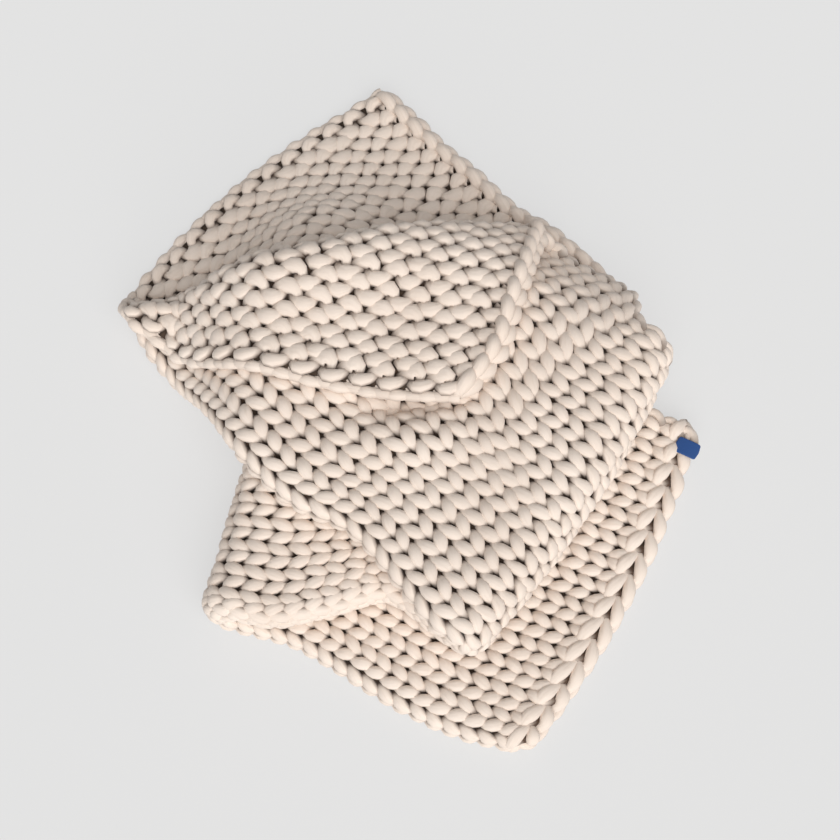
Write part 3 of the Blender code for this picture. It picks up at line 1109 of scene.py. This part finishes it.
@dataclass
class EdgeChain:
    """A chain of links that closes one edge of the cloth, here the cast-off edge."""

    cloth: FoldedCloth
    edge: Edge = Edge.CAST_OFF
    links: int = 30
    face: Face = Face.KNIT
    toward: int = -1                 # the way that the links' heads point
    inset: float = 0.70              # stitches or rows from the edge to the chain
    half_length: float = 0.72        # links from a link's middle to its head
    half_spread: float = 0.0115      # from the chain's middle to a link's side
    splay: float = 0.80              # how much wider a link is at its head
    arch: float = 0.0060             # how far the sides stand above the ends
    outward_tilt: float = 20.0       # degrees that the chain leans over the edge
    half_width: float = 0.0060
    lobe_width: float = 0.0034
    half_height: float = 0.0062
    slim_from: int = 1000            # the first of the links that are pulled thin
    slimness: float = 0.72           # their share of the usual size
    end_gap: float = 0.02            # links that the chain stays inside its two ends
    end_light: float = 0.30          # the light that reaches the links' ends
    unevenness: float = 0.05
    steps: int = 32
    sides: int = 9
    seed: int = 3

    def edge_point(self, along: Array, further: float = 0.0) -> tuple[Array, Array]:
        """Find where the chain runs.

        Args:
            along: how many links along the edge.
            further: stitches or rows further in than the chain.

        Returns:
            The surface points and the normals on the knit face.
        """
        inset = self.inset + further
        if self.edge is Edge.CAST_OFF:
            stitch = along * self.cloth.stitches / self.links
            return self.cloth.place(stitch, np.full_like(stitch, self.cloth.rows - inset))
        row = along * self.cloth.rows / self.links
        stitch = inset if self.edge is Edge.LOWER_SIDE else self.cloth.stitches - inset
        return self.cloth.place(np.full_like(row, stitch), row)

    def link(self, number: int, rng: np.random.Generator) -> YarnMesh:
        """Make one link.

        Args:
            number: the link's number along the edge.
            rng: the source of its unevenness.

        Returns:
            The link's yarn, a closed ring.
        """
        angle = np.arange(self.steps) * 2 * pi / self.steps
        longer, wider, fuller, _ = rng.normal(0.0, self.unevenness, 4)
        reach = (self.half_length + longer) * self.toward
        along = np.clip(number + 0.5 + reach * np.cos(angle),
                        self.end_gap, self.links - self.end_gap)
        surface, normals = self.edge_point(along)
        normals = normals * self.face.value
        outward = unit(surface - self.edge_point(along, further=1.0)[0])
        outward = unit(outward - normals * np.sum(outward * normals, axis=-1, keepdims=True))
        size = 1.0 if number < self.slim_from else self.slimness
        spread = (self.half_spread * size * (1 + wider) * np.sin(angle)
                  * (1 + self.splay * np.cos(angle)))
        tilt = radians(self.outward_tilt)
        top = normals * cos(tilt) + outward * sin(tilt)
        side = outward * cos(tilt) - normals * sin(tilt)
        line = (surface + side * spread[:, None]
                - top * (self.arch * np.cos(2 * angle))[:, None])
        lobes = (1 + np.cos(4 * angle)) / 2
        half_width = (self.half_width + self.lobe_width * lobes) * (1 + fuller / 2) * size
        yarn = yarn_tube(line, top, half_width, np.full(self.steps, self.half_height * size),
                         self.sides, closed=True)
        # painted shade: the links' tucked-in ends are darker than their raised sides
        raised = (1 - np.cos(2 * angle)) / 2
        light = self.end_light + (1 - self.end_light) * raised
        return yarn._replace(depth=np.repeat(light, self.sides))

    def build(self, material: Material) -> Object:
        """Make the whole chain as one piece.

        Args:
            material: the yarn's finish.

        Returns:
            The chain.
        """
        rng = np.random.default_rng(self.seed)
        links = [self.link(number, rng) for number in range(self.links)]
        return make_yarn(self.edge.value, join(links), material)


@dataclass
class SideChain(EdgeChain):
    """The fuller chain along a side edge, which leans out over the purl face."""

    links: int = 62
    face: Face = Face.PURL
    toward: int = 1
    inset: float = 0.54
    half_length: float = 0.66
    half_spread: float = 0.0095
    splay: float = 0.70
    outward_tilt: float = 60.0
    half_width: float = 0.0078
    half_height: float = 0.0084
    steps: int = 24


@dataclass
class HoleShadeSheet:
    """Painted shade: a thin dark sheet in the cloth's middle, closing the holes between stitches.
    """

    cloth: FoldedCloth
    thickness: float = 0.0020
    inset: float = 0.55              # stitches or rows that it stays back from the edges
    start_inset: float = 0.02        # rows that it stays back from the starting edge
    across: int = 76
    along: int = 150

    def build(self, material: Material) -> Object:
        """Make the thin dark sheet of painted shade.

        Args:
            material: its finish.

        Returns:
            The closed thin sheet.
        """
        stitch = np.linspace(self.inset, self.cloth.stitches - self.inset, self.across)
        row = np.linspace(self.start_inset, self.cloth.rows - self.inset, self.along)
        points, normals = self.cloth.place(*np.meshgrid(stitch, row))
        half = normals * self.thickness / 2
        rings = np.concatenate((points + half, (points - half)[:, ::-1]), axis=1)
        return make_piece("painted_hole_shade", rest_on_floor(rings.reshape(-1, 3)),
                          closed_faces(self.along, 2 * self.across), material)


@dataclass
class SewnLabel:
    """The blank ribbon tab, folded double and caught in the edge."""

    centre: Vector
    width: float = 0.0335
    depth: float = 0.0235
    heading: float = -27.0           # degrees
    thickness: float = 0.0016
    sag: float = 0.0016
    rounding: float = 0.35           # of its section: 1 for an oval, 0 for a box
    end_rounding: int = 14           # of its two ends, squarer for more
    end_share: float = 0.02          # of its section's square, left at the very ends
    crown: float = 0.10              # where it stands highest, in halves of its width
    cells: int = 24
    sides: int = 16

    def build(self, material: Material) -> Object:
        """Make the tab.

        Args:
            material: the ribbon's finish.

        Returns:
            The tab, which stands for the plain one.
        """
        turn = radians(self.heading)
        ahead = np.array((cos(turn), sin(turn), 0.0))
        aside = np.array((-sin(turn), cos(turn), 0.0))
        share = np.linspace(-1, 1, self.cells + 1)
        angles = np.arange(self.sides) * 2 * pi / self.sides
        edge, flat = (np.abs(v) ** self.rounding * np.sign(v)
                      for v in (np.cos(angles), np.sin(angles)))
        draw_in = np.sqrt(np.clip(1 - np.abs(share) ** self.end_rounding, self.end_share, 1))
        rise = self.sag * (1 - (share - self.crown) ** 2)
        points = (np.array(self.centre)
                  + ahead * (share * self.width / 2)[:, None, None]
                  + aside * (draw_in[:, None] * edge * self.depth / 2)[..., None]
                  + np.array((0, 0, 1.0)) * (rise[:, None] + draw_in[:, None] * flat
                                             * self.thickness / 2)[..., None])
        piece = make_piece("blank_label", points.reshape(-1, 3),
                           closed_faces(self.cells + 1, self.sides), material)
        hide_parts("sewn_label")
        return piece


@dataclass
class Studio:
    """The pale floor, the soft lights and the camera."""

    shift: Vector
    camera_height: float = 68.0      # degrees above the floor
    camera_distance: float = 2.2
    lens: float = 68.3               # millimetres, as is the sensor
    sensor: float = 36.0
    floor_size: float = 32.0
    lamp_toward: tuple[float, float, float] = (0.20, -1.00, 0.95)
    lamp_softness: float = 65.0      # degrees
    lamp_power: float = 2.90
    lamp_colour: Colour = (1.0, 0.985, 0.965)
    room_colour: Colour = (0.965, 0.985, 1.0)
    room_power: float = 0.31

    def build(self) -> None:
        """Set up floor, lights and camera."""
        self.lay_floor()
        self.hang_lights()
        self.set_camera()

    def lay_floor(self) -> None:
        """Lay the floor, which isn't part of the blanket."""
        half = self.floor_size / 2
        mesh = bpy.data.meshes.new("floor")
        mesh.from_pydata([(-half, -half, 0), (half, -half, 0), (half, half, 0),
                          (-half, half, 0)], [], [(0, 1, 2, 3)])
        mesh.materials.append(FloorFinish().build())
        floor = bpy.data.objects.new("floor", mesh)
        bpy.context.scene.collection.objects.link(floor)

    def hang_lights(self) -> None:
        """Hang one broad soft lamp up in front, in an evenly lit room."""
        lamp = bpy.data.lights.new("soft_lamp", "SUN")
        lamp.angle = radians(self.lamp_softness)
        lamp.energy = self.lamp_power
        lamp.color = self.lamp_colour
        holder = bpy.data.objects.new("soft_lamp", lamp)
        shining = -Vector(self.lamp_toward)
        holder.rotation_euler = shining.to_track_quat("-Z", "Y").to_euler()
        bpy.context.scene.collection.objects.link(holder)
        world = bpy.data.worlds.new("room")
        world.use_nodes = True
        background = world.node_tree.nodes["Background"]
        background.inputs["Color"].default_value = (*self.room_colour, 1.0)
        background.inputs["Strength"].default_value = self.room_power
        bpy.context.scene.world = world

    def set_camera(self) -> None:
        """Set the camera high in front of the blanket, looking at its middle."""
        lens = bpy.data.cameras.new("camera")
        lens.sensor_fit = "HORIZONTAL"
        lens.sensor_width = self.sensor
        lens.lens = self.lens
        camera = bpy.data.objects.new("camera", lens)
        angle = radians(self.camera_height)
        camera.location = Vector((0.0, -self.camera_distance * cos(angle),
                                  self.camera_distance * sin(angle))) + self.shift
        camera.rotation_euler = (pi / 2 - angle, 0.0, 0.0)
        bpy.context.scene.collection.objects.link(camera)
        bpy.context.scene.camera = camera


LABEL_PLACE = (0.358, -0.059)        # of the label's middle, as the sections are given
SLIM_FROM = {Edge.LOWER_SIDE: 24, Edge.UPPER_SIDE: 13}     # links pulled thin from here on


def main() -> None:
    """Build the blanket's pieces in order and report each one."""
    logging.basicConfig(level=logging.INFO, format="%(message)s")
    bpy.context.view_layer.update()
    low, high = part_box("sewn_label")
    label_middle = (low + high) / 2
    shift = Vector((label_middle.x - LABEL_PLACE[0], label_middle.y - LABEL_PLACE[1], 0.0))
    cloth = FoldedCloth(shift)
    yarn = YarnFinish().build()

    pieces = Courses(cloth).build(yarn)
    pieces.append(EdgeChain(cloth).build(yarn))
    for edge, slim_from in SLIM_FROM.items():
        pieces.append(SideChain(cloth, edge, slim_from=slim_from).build(yarn))
    label = SewnLabel(label_middle).build(RibbonFinish().build())
    # painted shade: a dark sheet that fills the holes between stitches
    hole_shade = HoleShadeSheet(cloth).build(HoleShadeFinish().build())
    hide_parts("blanket")
    Studio(shift).build()
    for piece in (*pieces, label, hole_shade):
        log.info("%s: %d faces", piece.name, len(piece.data.polygons))

    scene = bpy.context.scene
    scene.view_settings.view_transform = "Standard"


if __name__ == "__main__":
    main()
